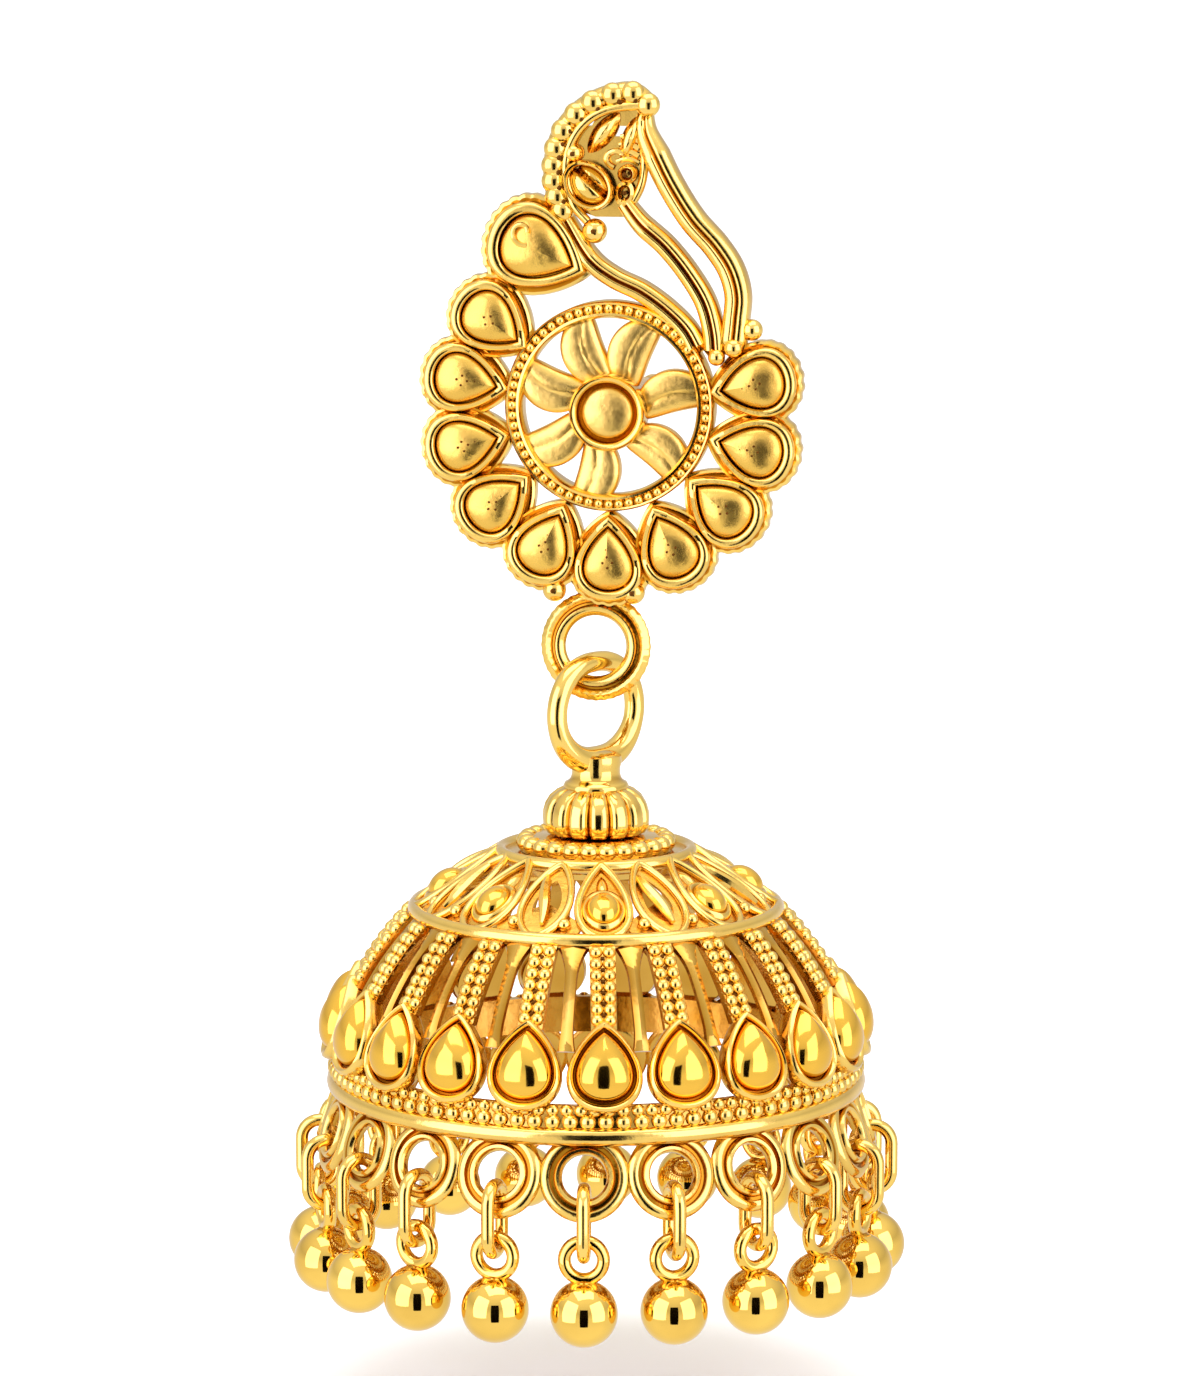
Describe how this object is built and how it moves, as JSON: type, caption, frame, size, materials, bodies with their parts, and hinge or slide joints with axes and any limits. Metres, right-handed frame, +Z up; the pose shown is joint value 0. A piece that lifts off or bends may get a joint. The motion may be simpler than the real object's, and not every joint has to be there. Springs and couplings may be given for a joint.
{
  "type": "jhumka earring",
  "caption": "Gold-plated jhumka earring: a pierced stud with pear settings and a paisley crest, and a bell-shaped dome that swings under it with a fringe of small balls.",
  "frame": {"origin": "on the stud's flat back, behind the flower's centre, where the ear post leaves it", "axes": "+Z up as the earring hangs, +Y along the ear post towards the ear's back, so the front faces -Y, +X to the viewer's right"},
  "size_m": [0.0231, 0.023, 0.0449],
  "materials": {
    "stud_gold": "satin gold plate on cast brass",
    "post_gold": "drawn wire, gold plate",
    "dome_gold": "bright gold plate on cast and soldered brass",
    "wire_gold": "polished gold plate on brass wire",
    "ball_gold": "mirror-polished gold plate"
  },
  "bodies": {
    "stud": {"stud_plate": "stud_gold", "ear_post": "post_gold"},
    "jhumka": {"bail_finial": "wire_gold", "beaded_collar": "dome_gold", "dome": "dome_gold", "jump_ring_01": "wire_gold", "jump_ring_02": "wire_gold", "jump_ring_03": "wire_gold", "jump_ring_04": "wire_gold", "jump_ring_05": "wire_gold", "jump_ring_06": "wire_gold", "jump_ring_07": "wire_gold", "jump_ring_08": "wire_gold", "jump_ring_09": "wire_gold", "jump_ring_10": "wire_gold", "jump_ring_11": "wire_gold", "jump_ring_12": "wire_gold", "jump_ring_13": "wire_gold", "jump_ring_14": "wire_gold", "jump_ring_15": "wire_gold", "jump_ring_16": "wire_gold", "jump_ring_17": "wire_gold", "jump_ring_18": "wire_gold", "jump_ring_19": "wire_gold", "jump_ring_20": "wire_gold", "ball_drop_01": "ball_gold", "ball_drop_02": "ball_gold", "ball_drop_03": "ball_gold", "ball_drop_04": "ball_gold", "ball_drop_05": "ball_gold", "ball_drop_06": "ball_gold", "ball_drop_07": "ball_gold", "ball_drop_08": "ball_gold", "ball_drop_09": "ball_gold", "ball_drop_10": "ball_gold", "ball_drop_11": "ball_gold", "ball_drop_12": "ball_gold", "ball_drop_13": "ball_gold", "ball_drop_14": "ball_gold", "ball_drop_15": "ball_gold", "ball_drop_16": "ball_gold", "ball_drop_17": "ball_gold", "ball_drop_18": "ball_gold", "ball_drop_19": "ball_gold", "ball_drop_20": "ball_gold"}
  },
  "joints": [
    {"name": "jhumka_swing", "type": "hinge", "parent": "stud", "child": "jhumka", "pos_m": [-0.00055, -0.0006, -0.01031], "axis": [1, 0, 0], "range_deg": [-35, 35]}
  ]
}
